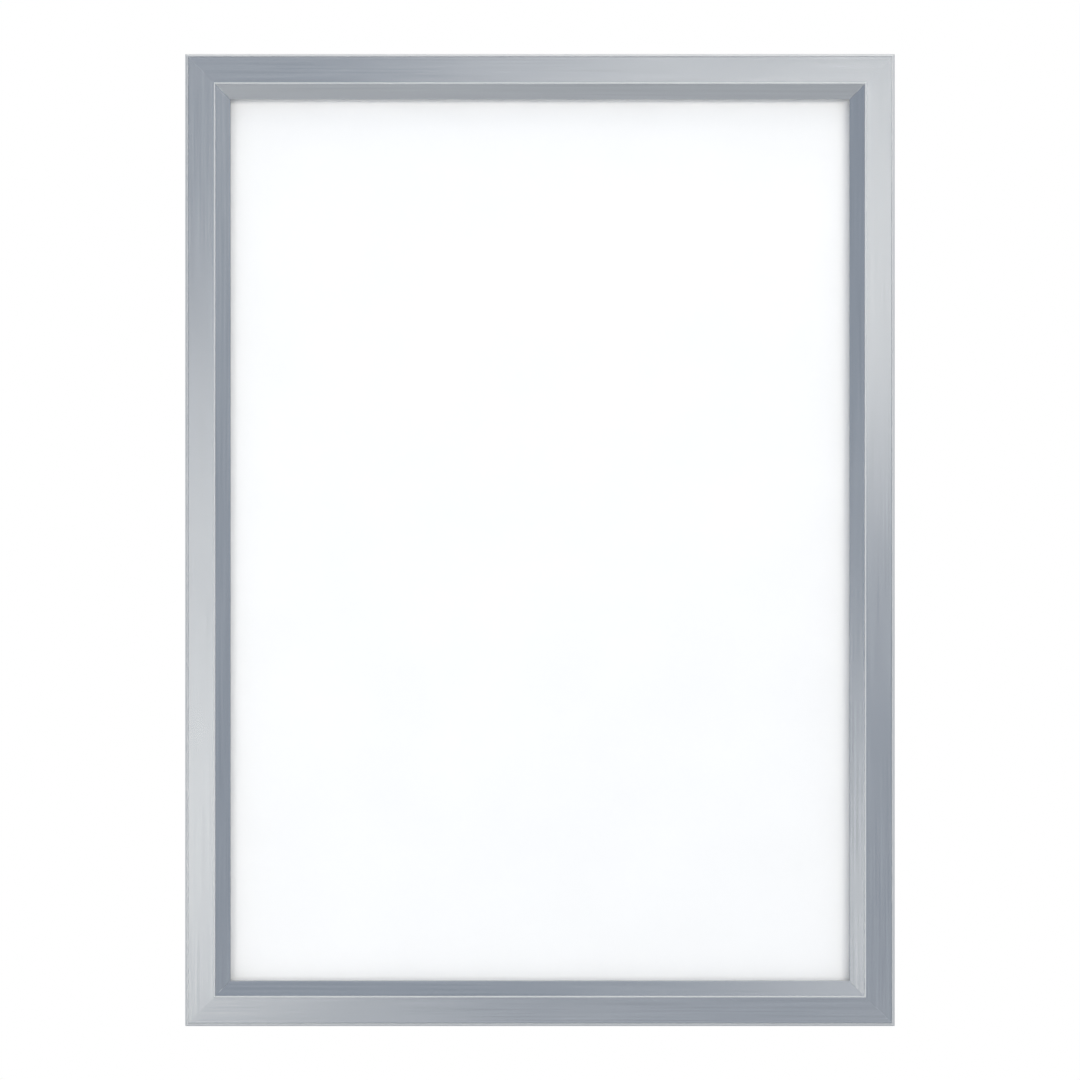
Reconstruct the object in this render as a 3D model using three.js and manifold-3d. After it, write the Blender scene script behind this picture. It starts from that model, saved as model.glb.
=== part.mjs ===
// A snap frame for one A4 sheet, to hang on a wall. Four base rails are mitred and joined by corner keys.
// A snap rail is hinged along the outer edge of each base rail, and two leaf springs in every rail push it
// shut or open, past a dead centre. The lips of the closed rails clamp the cover sheet, insert and panel.
//
// +X is to the right, +Z is up, and the front looks along -Y. The origin is the centre of the wall plane.
// Rail sections are drawn with u from the outer edge towards the window and v from the wall towards the
// viewer. They run along s, which is zero at the middle of the rail.

import * as THREE from 'three';
import { mergeVertices } from 'three/addons/utils/BufferGeometryUtils.js';
import Module from 'manifold-3d';

const wasm = await Module();
wasm.setup();

// Sizes are in millimetres, and angles in radians.

// The sheets
const insertWidth = 210;
const insertHeight = 297;
const insertThickness = 0.25;
const coverThickness = 0.4;
const panelThickness = 1.2;
const panelOversize = 0.5; // the panel past the insert, on each side
const lipOverlap = 2.5; // the lip over the edge of the insert

// Clearances
const restGap = 0.1; // between faces that lie on each other
const mitreGap = 0.1; // off each mitred end, along the rail
const clawGap = 0.12; // between the pivot bead and the claw around it
const stopGap = 0.15; // between the neck and the claw's ends
const ribClearance = 0.25; // between the swinging hook and the first rib
const pocketClearance = 0.3; // between the seat rib and the panel's edge
const threadGap = 0.15;

// The base rail
const floorThickness = 1.2;
const shelfReach = 2; // the floor past the lip, behind the panel
const beadRadius = 1.1;
const neckThickness = 0.7;
const neckFillet = 0.4;
const ribThickness = 0.7;
const ribChamfer = 0.4;
const channelLip = 0.6; // how far the lips reach over the key
const channelLipThickness = 0.5;
const seatRibHeight = 0.9; // above the lips, behind the spring
const seatRibThickness = 0.8;
const pivotRise = 1.3; // the pivot above the lips
const reliefWidth = 2;
const reliefDepth = 0.3;
const baseChamfer = 0.3;

// The snap rail
const railDepth = 10; // from the wall to the front
const openAngle = THREE.MathUtils.degToRad(100);
const plateThickness = 1.1;
const lipThickness = 1;
const lipChamfer = 0.2;
const clawThickness = 0.88;
const clawSetback = 0.1; // the claw's side behind the rail's outer face
const clawShoulder = THREE.MathUtils.degToRad(75);
const gussetHeight = 1; // above the claw, inside the outer wall
const hookHeight = 0.45;
const hookThickness = 0.45;
const notchClearance = 1.25; // between the notched claw end and its neighbour's swing
const ridgeRadius = 0.3;
const ridgeHeight = 0.1; // above the flat band
const bevelWidth = 4.1;
const bevelDrop = 1.95;
const easedWidth = 0.4;
const easedDrop = 0.45;
const noseRadius = 0.5;
const edgeRadius = 0.7;
const lineInset = 0.95; // the fine line cut along the outer edge
const lineWidth = 0.25;
const lineDepth = 0.15;

// The leaf springs
const springThickness = 0.4;
const springLength = 24;
const springCorner = 1.5;
const springBow = THREE.MathUtils.degToRad(34); // between its end and its chord
const seatGap = 0.1;

// The corner keys and their set screws
const keyWidth = 5;
const keyThickness = 1.2;
const keyLeg = 24;
const keyCorner = 1;
const screwRadius = 1.5;
const screwLength = 2;
const screwChamfer = 0.3;
const screwFromTip = 5; // from the end of the key's leg
const socketRadius = 0.87;
const socketDepth = 1.2;

// The holes for wall screws, in the top and bottom rails
const holeRadius = 2.1;
const headClearance = 0.3; // the recess for the head, cut into the ribs
const holePastKey = 10;

// Facets
const curveSegments = 8;
const roundSides = 24;

// Across the rail, from its outer edge to the window
const clawInner = beadRadius + clawGap;
const clawOuter = clawInner + clawThickness;
const hookReach = clawOuter + hookHeight;
const pivotInset = clawOuter + clawSetback;
const firstRib = pivotInset + hookReach + ribClearance;
const channelStart = firstRib + ribThickness;
const channelEnd = channelStart + keyWidth + 2 * restGap;
const seatRibEnd = channelEnd + seatRibThickness;
const panelEdge = seatRibEnd + pocketClearance;
const insertEdge = panelEdge + panelOversize;
const railWidth = insertEdge + lipOverlap;
const floorWidth = railWidth + shelfReach;
const channelMiddle = (channelStart + channelEnd) / 2;
const frameWidth = insertWidth + 2 * insertEdge;
const frameHeight = insertHeight + 2 * insertEdge;

// Out from the wall
const keyBack = floorThickness + restGap;
const channelTop = keyBack + keyThickness + restGap;
const ledge = channelTop + channelLipThickness;
const pivotHeight = ledge + pivotRise;
const panelBack = floorThickness + restGap;
const insertBack = panelBack + panelThickness + restGap;
const coverBack = insertBack + insertThickness + restGap;
const lipFoot = coverBack + coverThickness + restGap;
const bandHeight = railDepth - ridgeHeight;
const plateUnderside = bandHeight - plateThickness;

// The spring is as long with the rail open as shut, so its seat on the claw lies half the swing from the
// line through the pivot and the seat on the rib.
const pivot = new THREE.Vector2(pivotInset, pivotHeight);
const seatOffset = springThickness / 2 + seatGap;
const ribSeat = new THREE.Vector2(channelEnd - seatOffset, ledge + seatOffset);
const clawSeatRadius = clawOuter + seatOffset;
const clawSeatAngle = ribSeat.clone().sub(pivot).angle() - 2 * Math.PI - openAngle / 2;
const clawSeat = aroundPivot(clawSeatRadius, clawSeatAngle);

// The claw runs from its hook, which stops the spring, round the bead to the side of the neck that stops
// the open rail.
const hookWall = clawSeatAngle - Math.asin(seatOffset / clawSeatRadius);
const clawStart = hookWall - hookThickness / clawSeatRadius;
const neckRight = pivotInset + clawInner * Math.cos(clawStart - stopGap / clawInner);
const neckLeft = neckRight - neckThickness;
const neckLeftAngle = 2 * Math.PI - Math.acos((neckLeft - pivotInset) / clawInner);
const clawEnd = neckLeftAngle - stopGap / clawInner - openAngle;
const clawNotch = pivotInset + hookReach + notchClearance;

// Above this height, the outer wall stays inside its own mitre all the way open.
const mitreFoot = pivotHeight + pivotInset * Math.tan(openAngle / 2) + restGap;
const lipReach = railWidth - pivotInset;
const lipSwell = Math.hypot(lipReach, pivotHeight - lipFoot) - lipReach;

const finishes = {
  anodised: new THREE.MeshStandardMaterial({ color: 0xb4b9c1, roughness: 0.38, metalness: 1 }),
  mill: new THREE.MeshStandardMaterial({ color: 0xb9bcc0, roughness: 0.5, metalness: 1 }),
  zinc: new THREE.MeshStandardMaterial({ color: 0xa3a8ad, roughness: 0.42, metalness: 1 }),
  blackened: new THREE.MeshStandardMaterial({ color: 0x2b2c2e, roughness: 0.5, metalness: 1 }),
  spring: new THREE.MeshStandardMaterial({ color: 0x8d9096, roughness: 0.3, metalness: 1 }),
  panel: new THREE.MeshStandardMaterial({ color: 0xe6e6e3, roughness: 0.6, metalness: 0 }),
  paper: new THREE.MeshStandardMaterial({ color: 0xfafafa, roughness: 0.9, metalness: 0 }),
  clear: new THREE.MeshStandardMaterial({
    color: 0xf5f8fa, roughness: 0.25, metalness: 0, transparent: true, opacity: 0.2,
  }),
};

function aroundPivot(radius, angle) {
  return new THREE.Vector2(
    pivot.x + radius * Math.cos(angle),
    pivot.y + radius * Math.sin(angle),
  );
}

function toSolid(geometry) {
  const bare = geometry.clone();
  bare.deleteAttribute('normal');
  bare.deleteAttribute('uv');
  const merged = mergeVertices(bare);
  return new wasm.Manifold(new wasm.Mesh({
    numProp: 3,
    vertProperties: new Float32Array(merged.attributes.position.array),
    triVerts: new Uint32Array(merged.index.array),
  }));
}

function toGeometry(solid) {
  const mesh = solid.getMesh();
  const geometry = new THREE.BufferGeometry();
  geometry.setAttribute('position', new THREE.BufferAttribute(mesh.vertProperties, 3));
  geometry.setIndex(new THREE.BufferAttribute(mesh.triVerts, 1));
  geometry.computeVertexNormals();
  return geometry;
}

function join(first, second) {
  return toGeometry(toSolid(first).add(toSolid(second)));
}

function cut(body, tools) {
  return toGeometry(tools.reduce((solid, tool) => solid.subtract(toSolid(tool)), toSolid(body)));
}

function piece(name, geometry, material) {
  const mesh = new THREE.Mesh(geometry, material);
  mesh.name = name;
  return mesh;
}

// A bar along s, from the middle of the rail, with square ends.
function squareBar(section, length) {
  const bar = new THREE.ExtrudeGeometry(section, { depth: length, bevelEnabled: false, curveSegments });
  return bar.translate(0, 0, -length / 2);
}

// A bar along s whose ends are sawn at 45 degrees, so it gets shorter towards the window.
function mitredBar(section, length, gap) {
  const bar = new THREE.ExtrudeGeometry(section, { depth: 1, bevelEnabled: false, curveSegments });
  const points = bar.attributes.position;
  for (let i = 0; i < points.count; i += 1) {
    const end = length / 2 - points.getX(i) - gap;
    points.setZ(i, points.getZ(i) > 0.5 ? end : -end);
  }
  return bar;
}

// The base rail's section: a flat floor, the neck and bead that the snap rail turns on, and two ribs whose
// lips hold the corner key. The second rib stands higher, as the seat of the springs.
function baseSection() {
  const shape = new THREE.Shape();
  shape.moveTo(0, baseChamfer);
  shape.lineTo(baseChamfer, 0);
  for (const start of [firstRib - reliefWidth, channelEnd + ribThickness]) {
    shape.lineTo(start, 0);
    shape.lineTo(start, reliefDepth);
    shape.lineTo(start + reliefWidth, reliefDepth);
    shape.lineTo(start + reliefWidth, 0);
  }
  shape.lineTo(floorWidth - baseChamfer, 0);
  shape.lineTo(floorWidth, baseChamfer);
  shape.lineTo(floorWidth, floorThickness - baseChamfer);
  shape.lineTo(floorWidth - baseChamfer, floorThickness);
  addSeatRib(shape);
  addFirstRib(shape);
  addNeckAndBead(shape);
  shape.lineTo(baseChamfer, floorThickness);
  shape.lineTo(0, floorThickness - baseChamfer);
  return shape;
}

function addSeatRib(shape) {
  const top = ledge + seatRibHeight;
  shape.lineTo(seatRibEnd, floorThickness);
  shape.lineTo(seatRibEnd, top - baseChamfer);
  shape.lineTo(seatRibEnd - baseChamfer, top);
  shape.lineTo(channelEnd, top);
  shape.lineTo(channelEnd, ledge);
  shape.lineTo(channelEnd - channelLip, ledge);
  shape.lineTo(channelEnd - channelLip, channelTop);
  shape.lineTo(channelEnd, channelTop);
  shape.lineTo(channelEnd, floorThickness);
}

function addFirstRib(shape) {
  shape.lineTo(channelStart, floorThickness);
  shape.lineTo(channelStart, channelTop);
  shape.lineTo(channelStart + channelLip, channelTop);
  shape.lineTo(channelStart + channelLip, ledge);
  shape.lineTo(firstRib + ribChamfer, ledge);
  shape.lineTo(firstRib, ledge - ribChamfer);
  shape.lineTo(firstRib, floorThickness);
}

function addNeckAndBead(shape) {
  const beadStart = -Math.acos((neckRight - pivotInset) / beadRadius);
  const beadEnd = 2 * Math.PI - Math.acos((neckLeft - pivotInset) / beadRadius);
  const filletTop = floorThickness + neckFillet;
  shape.lineTo(neckRight + neckFillet, floorThickness);
  shape.quadraticCurveTo(neckRight, floorThickness, neckRight, filletTop);
  shape.absarc(pivotInset, pivotHeight, beadRadius, beadStart, beadEnd, false);
  shape.lineTo(neckLeft, filletTop);
  shape.quadraticCurveTo(neckLeft, floorThickness, neckLeft - neckFillet, floorThickness);
}

// The part of the snap rail that is mitred: outer wall, flat band, ridge, bevel and lip.
function plateSection() {
  const shape = new THREE.Shape();
  const inside = railWidth - lipThickness;
  const nose = new THREE.Vector2(railWidth - noseRadius, railDepth - ridgeRadius - bevelDrop - easedDrop);
  const crease = new THREE.Vector2(nose.x - easedWidth, nose.y + easedDrop);
  const bevel = new THREE.Vector2(crease.x - bevelWidth, crease.y + bevelDrop);
  const wall = new THREE.Vector2(-bevelDrop, -bevelWidth).setLength(plateThickness);
  shape.moveTo(0, mitreFoot);
  shape.lineTo(plateThickness, mitreFoot);
  shape.lineTo(plateThickness, plateUnderside);
  shape.lineTo(bevel.x + wall.x, plateUnderside);
  shape.lineTo(crease.x + wall.x, crease.y + wall.y);
  shape.lineTo(inside, nose.y - plateThickness);
  shape.lineTo(inside, lipFoot + lipChamfer);
  shape.lineTo(inside + lipChamfer, lipFoot);
  shape.lineTo(railWidth - lipChamfer, lipFoot);
  shape.lineTo(railWidth, lipFoot + lipChamfer);
  shape.lineTo(railWidth, nose.y - 2 * noseRadius);
  shape.quadraticCurveTo(railWidth, nose.y - noseRadius * easedDrop / easedWidth, nose.x, nose.y);
  shape.lineTo(crease.x, crease.y);
  shape.lineTo(bevel.x, bevel.y);
  addRidge(shape, bevel.x - ridgeRadius);
  addOuterEdge(shape);
  return shape;
}

function addRidge(shape, middle) {
  const base = Math.PI - Math.asin(1 - ridgeHeight / ridgeRadius);
  shape.absarc(middle, railDepth - ridgeRadius, ridgeRadius, 0, base, false);
}

function addOuterEdge(shape) {
  shape.lineTo(lineInset + lineWidth, bandHeight);
  shape.lineTo(lineInset + lineWidth / 2, bandHeight - lineDepth);
  shape.lineTo(lineInset, bandHeight);
  shape.absarc(edgeRadius, bandHeight - edgeRadius, edgeRadius, Math.PI / 2, Math.PI, false);
}

// The part of the snap rail that is notched back from the corners: the foot of the outer wall and the claw
// that snaps round the bead.
function clawSection() {
  const shape = new THREE.Shape();
  const shoulder = aroundPivot(clawOuter, clawShoulder);
  const gussetFoot = shoulder.y + (shoulder.x - plateThickness) / Math.tan(clawShoulder);
  shape.moveTo(plateThickness, plateUnderside);
  shape.lineTo(0, plateUnderside);
  shape.lineTo(0, pivotHeight - pivotInset * Math.tan(clawEnd));
  shape.absarc(pivotInset, pivotHeight, clawInner, clawEnd, clawStart, true);
  shape.absarc(pivotInset, pivotHeight, hookReach, clawStart, hookWall, false);
  shape.absarc(pivotInset, pivotHeight, clawOuter, hookWall, clawShoulder, false);
  shape.quadraticCurveTo(plateThickness, gussetFoot, plateThickness, pivotHeight + clawOuter + gussetHeight);
  return shape;
}

// A leaf spring's section: a strip bowed away from the wall, between its seats on the claw and the rib.
function springSection() {
  const chord = ribSeat.clone().sub(clawSeat);
  const radius = chord.length() / 2 / Math.sin(springBow);
  const middle = clawSeat.clone().add(ribSeat).multiplyScalar(0.5);
  const away = new THREE.Vector2(-chord.y, chord.x).setLength(radius * Math.cos(springBow));
  const centre = middle.sub(away);
  const from = clawSeat.clone().sub(centre).angle();
  const to = ribSeat.clone().sub(centre).angle();
  const half = springThickness / 2;
  const shape = new THREE.Shape();
  shape.absarc(centre.x, centre.y, radius + half, from, to, true);
  shape.absarc(ribSeat.x, ribSeat.y, half, to, to - Math.PI, true);
  shape.absarc(centre.x, centre.y, radius - half, to, from, false);
  shape.absarc(clawSeat.x, clawSeat.y, half, from + Math.PI, from, true);
  return shape;
}

function baseRail(side) {
  const bar = mitredBar(baseSection(), side.length, mitreGap);
  if (!side.hasWallHoles) {
    return bar;
  }
  const fromMiddle = side.length / 2 - channelStart - restGap - keyLeg - holePastKey;
  return cut(bar, [-fromMiddle, fromMiddle].flatMap(wallHole));
}

// A screw hole in the floor, and a wider recess through the lips for the screw's head.
function wallHole(place) {
  const headRadius = (channelEnd - channelStart) / 2 + headClearance;
  const hole = new THREE.CylinderGeometry(holeRadius, holeRadius, railDepth, roundSides);
  const recess = new THREE.CylinderGeometry(headRadius, headRadius, railDepth, roundSides);
  hole.translate(channelMiddle, 0, place);
  recess.translate(channelMiddle, floorThickness + railDepth / 2, place);
  return [hole, recess];
}

function snapRail(side) {
  const plate = mitredBar(plateSection(), side.length, mitreGap + lipSwell);
  const claw = squareBar(clawSection(), side.length - 2 * clawNotch);
  return join(plate, claw);
}

// The strip is sheared with its corners cut off, so that they can't dig into their seats.
function leafSpring() {
  const strip = squareBar(springSection(), springLength);
  const corners = [];
  for (const seat of [clawSeat, ribSeat]) {
    for (const end of [-springLength / 2, springLength / 2]) {
      const corner = new THREE.CylinderGeometry(springCorner, springCorner, railDepth, 4);
      corners.push(corner.translate(seat.x, seat.y, end));
    }
  }
  return cut(strip, corners);
}

// One side of the frame, in its rail's own u, v and s.
function buildSide(side) {
  const group = new THREE.Group();
  const u = side.outward.clone().negate();
  const v = new THREE.Vector3(0, -1, 0);
  const s = new THREE.Vector3().crossVectors(u, v);
  group.quaternion.setFromRotationMatrix(new THREE.Matrix4().makeBasis(u, v, s));
  group.position.copy(side.outward).multiplyScalar(side.reach);
  group.add(piece(`base_rail_${side.name}`, baseRail(side), finishes.mill));
  group.add(piece(`snap_rail_${side.name}`, snapRail(side), finishes.anodised));
  [-side.length / 4, side.length / 4].forEach((place, i) => {
    const spring = piece(`leaf_spring_${side.name}_${i + 1}`, leafSpring(), finishes.spring);
    spring.position.z = place;
    group.add(spring);
  });
  return group;
}

// A corner key: a stamped L with rounded corners and two threaded holes. Its legs run along both edges.
function cornerKey() {
  const near = channelStart + restGap;
  const far = near + keyWidth;
  const tip = near + keyLeg;
  const shape = new THREE.Shape();
  shape.moveTo(near, near + keyCorner);
  shape.quadraticCurveTo(near, near, near + keyCorner, near);
  shape.lineTo(tip - keyCorner, near);
  shape.lineTo(tip, near + keyCorner);
  shape.lineTo(tip, far - keyCorner);
  shape.lineTo(tip - keyCorner, far);
  shape.lineTo(far, far);
  shape.lineTo(far, tip - keyCorner);
  shape.lineTo(far - keyCorner, tip);
  shape.lineTo(near + keyCorner, tip);
  shape.lineTo(near, tip - keyCorner);
  const plate = new THREE.ExtrudeGeometry(shape, {
    depth: keyThickness, bevelEnabled: false, curveSegments,
  });
  const radius = screwRadius + threadGap;
  const holes = screwPlaces().map((place) => {
    const hole = new THREE.CylinderGeometry(radius, radius, railDepth, roundSides);
    return hole.rotateX(Math.PI / 2).translate(place.x, place.y, 0);
  });
  return cut(plate, holes).translate(0, 0, keyBack);
}

function screwPlaces() {
  const along = channelStart + restGap + keyLeg - screwFromTip;
  return [new THREE.Vector2(along, channelMiddle), new THREE.Vector2(channelMiddle, along)];
}

// A set screw with a chamfer at both ends and a hexagonal socket, which stands on the rail's floor.
function setScrew() {
  const profile = [
    new THREE.Vector2(0, 0),
    new THREE.Vector2(screwRadius - screwChamfer, 0),
    new THREE.Vector2(screwRadius, screwChamfer),
    new THREE.Vector2(screwRadius, screwLength - screwChamfer),
    new THREE.Vector2(screwRadius - screwChamfer, screwLength),
    new THREE.Vector2(0, screwLength),
  ];
  const body = new THREE.LatheGeometry(profile, roundSides);
  const socket = new THREE.CylinderGeometry(socketRadius, socketRadius, 2 * socketDepth, 6);
  socket.translate(0, screwLength, 0);
  return cut(body, [socket]).rotateX(Math.PI / 2);
}

// One corner of the frame. Its first axis runs along one edge and its second along the other.
function buildCorner(corner) {
  const group = new THREE.Group();
  const v = new THREE.Vector3(0, -1, 0);
  const first = corner.first;
  const second = new THREE.Vector3().crossVectors(v, first);
  group.quaternion.setFromRotationMatrix(new THREE.Matrix4().makeBasis(first, second, v));
  group.position.set(corner.x * frameWidth / 2, 0, corner.z * frameHeight / 2);
  group.add(piece(`corner_key_${corner.name}`, cornerKey(), finishes.zinc));
  screwPlaces().forEach((place, i) => {
    const screw = piece(`set_screw_${corner.name}_${i + 1}`, setScrew(), finishes.blackened);
    screw.position.set(place.x, place.y, keyBack);
    group.add(screw);
  });
  return group;
}

// A flat rectangular sheet, with its back face this far from the wall.
function sheet(name, width, height, thickness, back, material) {
  const mesh = piece(name, new THREE.BoxGeometry(width, thickness, height), material);
  mesh.position.y = -back - thickness / 2;
  return mesh;
}

const right = new THREE.Vector3(1, 0, 0);
const up = new THREE.Vector3(0, 0, 1);
const left = right.clone().negate();
const down = up.clone().negate();

const sides = [
  { name: 'top', outward: up, length: frameWidth, reach: frameHeight / 2, hasWallHoles: true },
  { name: 'bottom', outward: down, length: frameWidth, reach: frameHeight / 2, hasWallHoles: true },
  { name: 'left', outward: left, length: frameHeight, reach: frameWidth / 2, hasWallHoles: false },
  { name: 'right', outward: right, length: frameHeight, reach: frameWidth / 2, hasWallHoles: false },
];

const corners = [
  { name: 'bottom_left', x: -1, z: -1, first: right },
  { name: 'bottom_right', x: 1, z: -1, first: up },
  { name: 'top_right', x: 1, z: 1, first: left },
  { name: 'top_left', x: -1, z: 1, first: down },
];

const frame = new THREE.Group();
frame.add(...sides.map(buildSide));
frame.add(...corners.map(buildCorner));
frame.add(sheet(
  'back_panel',
  insertWidth + 2 * panelOversize,
  insertHeight + 2 * panelOversize,
  panelThickness,
  panelBack,
  finishes.panel,
));
frame.add(sheet('insert_sheet', insertWidth, insertHeight, insertThickness, insertBack, finishes.paper));
frame.add(sheet('cover_sheet', insertWidth, insertHeight, coverThickness, coverBack, finishes.clear));

export default frame;
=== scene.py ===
# A wall snap frame for one A4 sheet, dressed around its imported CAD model. All sizes are in metres, in the
# frame's own axes: +X is to the right, +Z is up, the wall is the plane Y = 0 and the viewer stands at -Y.

import math

import bmesh
import bpy
from mathutils import Matrix, Vector


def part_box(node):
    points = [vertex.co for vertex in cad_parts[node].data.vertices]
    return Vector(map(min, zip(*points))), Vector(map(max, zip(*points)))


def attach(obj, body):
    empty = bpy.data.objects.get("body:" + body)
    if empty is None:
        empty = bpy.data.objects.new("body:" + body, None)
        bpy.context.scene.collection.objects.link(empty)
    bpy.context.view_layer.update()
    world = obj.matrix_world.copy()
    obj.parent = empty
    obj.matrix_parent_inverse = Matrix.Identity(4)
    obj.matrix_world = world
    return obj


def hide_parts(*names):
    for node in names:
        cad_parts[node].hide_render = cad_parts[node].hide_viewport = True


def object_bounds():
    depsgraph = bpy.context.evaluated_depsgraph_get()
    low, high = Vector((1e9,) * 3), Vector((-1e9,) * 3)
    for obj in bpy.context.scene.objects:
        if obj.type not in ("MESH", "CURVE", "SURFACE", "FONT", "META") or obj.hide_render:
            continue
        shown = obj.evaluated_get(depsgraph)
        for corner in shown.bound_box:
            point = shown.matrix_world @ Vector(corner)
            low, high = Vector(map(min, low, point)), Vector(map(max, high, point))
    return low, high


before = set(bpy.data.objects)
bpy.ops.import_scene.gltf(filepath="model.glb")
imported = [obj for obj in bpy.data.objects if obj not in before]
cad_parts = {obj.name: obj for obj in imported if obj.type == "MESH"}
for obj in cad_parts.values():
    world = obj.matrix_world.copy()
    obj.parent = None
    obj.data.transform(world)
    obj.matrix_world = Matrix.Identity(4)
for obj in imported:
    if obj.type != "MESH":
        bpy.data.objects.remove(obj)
cad_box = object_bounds()

# The base rails. Four lengths of mill-finish aluminium extrusion, sawn at 45 degrees, lie flat on the wall.
# Each has a bead near its outer edge, which the snap rail turns on, and a lipped channel for corner keys.
# The top and bottom ones are drilled for two wall screws, with a recess through the lips for each head.

mm = 0.001
frame_width = cad_box[1].x - cad_box[0].x
frame_height = cad_box[1].z - cad_box[0].z
pivot = Vector((2.2, 4.4)) * mm
bead_radius = 1.1 * mm
neck_outside = 1.675 * mm
neck_inside = 2.375 * mm
first_rib_outside = 5.0 * mm
first_rib_inside = 5.7 * mm
seat_rib_outside = 10.9 * mm
seat_rib_inside = 11.7 * mm
seat_rib_top = 4.0 * mm
lip_reach = 0.6 * mm
lip_underside = 2.6 * mm
lip_top = 3.1 * mm
floor_width = 17 * mm
floor_thickness = 1.2 * mm
relief_width = 2 * mm
relief_depth = 0.3 * mm
relief_starts = (3.0 * mm, 11.6 * mm)
base_edge = 0.3 * mm
shoulder_edge = 0.4 * mm
neck_root = 0.4 * mm
rib_root = 0.15 * mm
channel_edge = 0.08 * mm
lip_root = 0.04 * mm
base_mitre_gap = 0.1 * mm
channel_middle = 8.3 * mm
hole_radius = 2.1 * mm
head_recess_radius = 2.9 * mm
hole_from_middle = 77.7 * mm
drill_length = 10 * mm
upright = (math.radians(90), 0, 0)

sides = {
    "top": (Vector((0, 0, 1)), frame_width, frame_height / 2),
    "bottom": (Vector((0, 0, -1)), frame_width, frame_height / 2),
    "left": (Vector((-1, 0, 0)), frame_height, frame_width / 2),
    "right": (Vector((1, 0, 0)), frame_height, frame_width / 2),
}


def place_of(side):
    """A rail is drawn with u from its outer edge inwards, v from the wall out, and s along it."""
    outward, _, reach = sides[side]
    out_of_wall = Vector((0, -1, 0))
    along = (-outward).cross(out_of_wall)
    turn = Matrix((-outward, out_of_wall, along)).transposed()
    return Matrix.Translation(outward * reach) @ turn.to_4x4()


def arc(centre, radius, start, end, steps=16):
    """Points round a centre, from one angle to another, in degrees."""
    angles = [math.radians(start + (end - start) * i / steps) for i in range(steps + 1)]
    return [centre + radius * Vector((math.cos(a), math.sin(a))) for a in angles]


def eased(*corners, steps=4):
    """A closed outline through corners (u, v) or (u, v, radius). A radius rounds its corner."""
    outline = []
    for i, corner in enumerate(corners):
        here = Vector(corner[:2])
        if len(corner) < 3:
            outline.append(here)
            continue
        back = (Vector(corners[i - 1][:2]) - here).normalized()
        on = (Vector(corners[(i + 1) % len(corners)][:2]) - here).normalized()
        half = back.angle(on) / 2
        centre = here + (back + on).normalized() * corner[2] / math.sin(half)
        start = here + back * corner[2] / math.tan(half) - centre
        turn = start.angle_signed(here + on * corner[2] / math.tan(half) - centre)
        for j in range(steps + 1):
            spin = Matrix.Rotation(-turn * j / steps, 2)
            outline.append(centre + spin @ start)
    return outline


def face_of(name, outline):
    """A flat mesh with this outline, for a bar to be drawn from."""
    flat = bpy.data.meshes.new(name)
    flat.from_pydata([(*corner, 0) for corner in outline], [], [range(len(outline))])
    return flat


def node(tree, kind, feeds=None, **settings):
    """A node with these settings. Each input is fed by another node's output, or set to a value."""
    made = tree.nodes.new(kind)
    for key, value in settings.items():
        setattr(made, key, value)
    for key, value in (feeds or {}).items():
        for fed in value if isinstance(value, list) else [value]:
            if isinstance(fed, bpy.types.NodeSocket):
                tree.links.new(fed, made.inputs[key])
            else:
                made.inputs[key].default_value = fed
    return made


def maths(tree, operation, *values):
    """What an operation makes of sockets or numbers."""
    return node(tree, "ShaderNodeMath", dict(enumerate(values)), operation=operation).outputs[0]


def carried(tree, value, old, new=(0.0, 1.0), **settings):
    """A value carried over from one range to another, and held within it."""
    return node(tree, "ShaderNodeMapRange", {
        "Value": value, "From Min": old[0], "From Max": old[1], "To Min": new[0], "To Max": new[1],
    }, **settings).outputs[0]


def point(tree, x=0.0, y=0.0, z=0.0):
    """A place put together from sockets or numbers."""
    return node(tree, "ShaderNodeCombineXYZ", {"X": x, "Y": y, "Z": z}).outputs[0]


def parts_of(tree, vector):
    """The three parts of a place or a direction."""
    return node(tree, "ShaderNodeSeparateXYZ", {0: vector}).outputs


def moved(tree, geometry, place=(0, 0, 0), turn=(0, 0, 0)):
    """A shape turned about the axes and then moved."""
    return node(tree, "GeometryNodeTransform", {
        "Geometry": geometry, "Translation": place, "Rotation": turn,
    }).outputs[0]


def tree_with(name, kind, inputs, outputs):
    """An empty node tree. Each input is named with its first value, or with its kind of socket."""
    tree = bpy.data.node_groups.new(name, kind)
    for label, start in inputs.items():
        socket = start if isinstance(start, str) else {bool: "Bool", float: "Float"}[type(start)]
        made = tree.interface.new_socket(label, in_out="INPUT", socket_type=f"NodeSocket{socket}")
        if socket != start:
            made.default_value = start
    for label, socket in outputs.items():
        tree.interface.new_socket(label, in_out="OUTPUT", socket_type=f"NodeSocket{socket}")
    return tree, tree.nodes.new("NodeGroupInput").outputs


def put_in_mesh(piece, change):
    """Puts what a modifier makes of a piece into its mesh, and takes the modifier off."""
    shaped = piece.evaluated_get(bpy.context.evaluated_depsgraph_get())
    mesh = bpy.data.meshes.new_from_object(shaped)
    piece.modifiers.remove(change)
    piece.data = mesh
    mesh.name = piece.name


def made_by(tree, name, start, values):
    """The plain mesh object that a geometry tree makes from a starting mesh with these values."""
    piece = bpy.data.objects.new(name, start)
    bpy.context.collection.objects.link(piece)
    shaping = piece.modifiers.new(tree.name, "NODES")
    shaping.node_group = tree
    for item in tree.interface.items_tree:
        if item.in_out == "INPUT" and item.name in values:
            shaping[item.identifier] = values[item.name]
    put_in_mesh(piece, shaping)
    return piece


def applied(piece, kind, **settings):
    """Runs one modifier on a piece, and puts the result into its mesh."""
    change = piece.modifiers.new(kind.lower(), kind)
    for key, value in settings.items():
        setattr(change, key, value)
    put_in_mesh(piece, change)


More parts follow.
